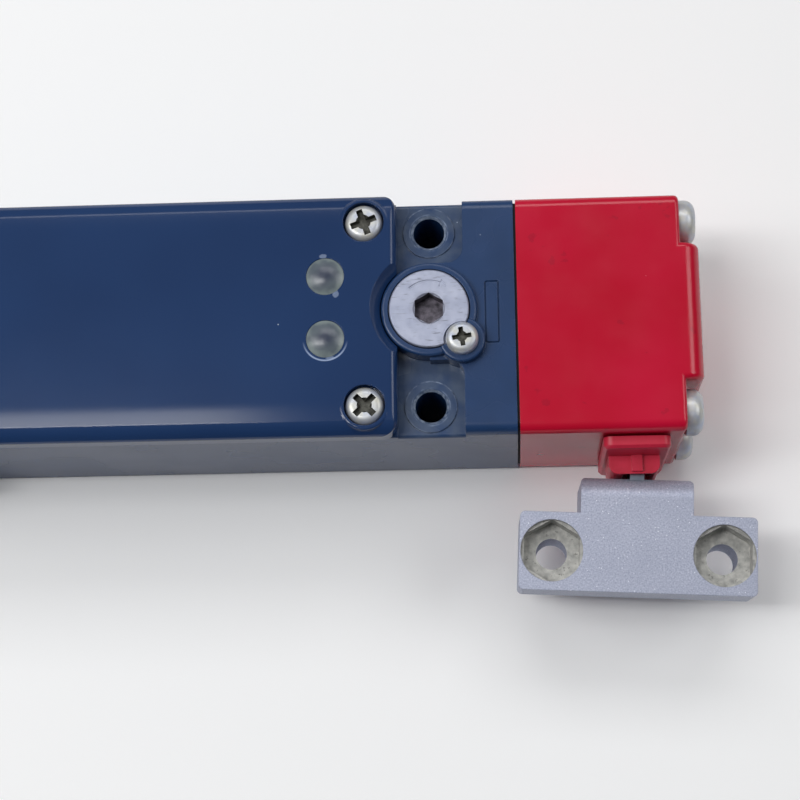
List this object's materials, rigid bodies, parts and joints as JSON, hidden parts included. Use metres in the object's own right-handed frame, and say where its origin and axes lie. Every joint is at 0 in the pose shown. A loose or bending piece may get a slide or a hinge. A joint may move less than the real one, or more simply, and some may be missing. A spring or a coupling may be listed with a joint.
{
  "type": "tongue interlock switch",
  "caption": "Slim metal guard-locking safety switch: blue body with screwed lid, red turret head and a silver T-shaped tongue actuator seated in its side slot.",
  "frame": {"origin": "midway between the two neck mounting holes, on the flat back of the body", "axes": "+X along the switch towards the red head; +Z out of the back through the lid; the tongue enters from -Y"},
  "size_m": [0.216, 0.0886, 0.0446],
  "materials": {
    "blue_enamel": "gloss stoved enamel on a die casting",
    "red_enamel": "gloss stoved enamel on a die casting",
    "red_plastic": "moulded, low gloss",
    "silver_casting": "satin metallic lacquer, fine sparkle",
    "disc_aluminium": "satin, lightly scratched",
    "zinc_steel": "zinc plated",
    "plain_steel": "ground",
    "lens": "clear moulded",
    "led": "water clear",
    "circuit_board": "solder mask",
    "rubber": "moulded",
    "black_plastic": "moulded",
    "grey_plastic": "moulded",
    "brass": "turned",
    "copper_winding": "enamelled wire, taped"
  },
  "bodies": {
    "switch": {"body_casting": "blue_enamel", "lid": "blue_enamel", "lid_gasket": "rubber", "lid_screws": "zinc_steel", "indicator_lenses": "lens", "indicator_leds": "led", "led_board": "circuit_board", "head_gasket": "rubber", "head_housing": "red_enamel", "head_screws": "zinc_steel", "tongue_guide": "red_plastic", "slot_plug": "red_plastic", "cam_axle": "plain_steel", "rod_bush": "brass", "release_oring": "rubber", "sealing_screw": "zinc_steel", "rod_spring": "plain_steel", "chassis_plate": "zinc_steel", "chassis_screws": "zinc_steel", "contact_block": "black_plastic", "contact_clamps": "brass", "contact_screws": "zinc_steel", "solenoid_yoke": "zinc_steel", "coil_bobbin": "black_plastic", "coil_winding": "copper_winding", "solenoid_core": "plain_steel", "plunger_spring": "plain_steel", "lever_pin": "plain_steel", "terminal_block": "grey_plastic", "terminal_screws": "zinc_steel", "earth_screw": "brass", "entry_plugs": "black_plastic", "plug_seals": "rubber"},
    "actuator": {"actuator_bracket": "silver_casting", "tongue": "plain_steel", "tongue_rivets": "plain_steel"},
    "cam": {"cam_wheel": "plain_steel"},
    "rod": {"transmission_rod": "plain_steel"},
    "plunger": {"solenoid_plunger": "plain_steel"},
    "lever": {"lock_lever": "plain_steel"},
    "release": {"release_disc": "disc_aluminium", "release_cam": "black_plastic", "release_circlip": "plain_steel"}
  },
  "joints": [
    {"name": "actuator_travel", "type": "slide", "parent": "switch", "child": "actuator", "axis": [-0.0506, -0.9987, 0], "range_m": [0, 0.03]},
    {"name": "cam_turn", "type": "hinge", "parent": "switch", "child": "cam", "pos_m": [0.0335, -0.009, 0.02], "axis": [0, 0, 1], "range_deg": [-90, 0]},
    {"name": "rod_travel", "type": "slide", "parent": "switch", "child": "rod", "axis": [-1, 0, 0], "range_m": [0, 0.004], "deforming": ["rod_spring"]},
    {"name": "lock_plunger_travel", "type": "slide", "parent": "switch", "child": "plunger", "axis": [-1, 0, 0], "range_m": [-0.002, 0], "stiffness_N_per_m": 150, "deforming": ["plunger_spring"]},
    {"name": "lock_lever_swing", "type": "hinge", "parent": "switch", "child": "lever", "pos_m": [-0.0215, 0.002, 0.02], "axis": [0, 0, 1], "range_deg": [-10.42, 0]},
    {"name": "auxiliary_release", "type": "hinge", "parent": "switch", "child": "release", "pos_m": [0, 0.001, 0.04], "axis": [0, 0, -1], "range_deg": [0, 90]}
  ],
  "couplings": [
    {"joint": "cam_turn", "follows": "actuator_travel", "rad_per_m": -52.35},
    {"joint": "rod_travel", "follows": "actuator_travel", "ratio": 0.1333},
    {"joint": "lock_lever_swing", "follows": "lock_plunger_travel", "rad_per_m": 90.9}
  ]
}
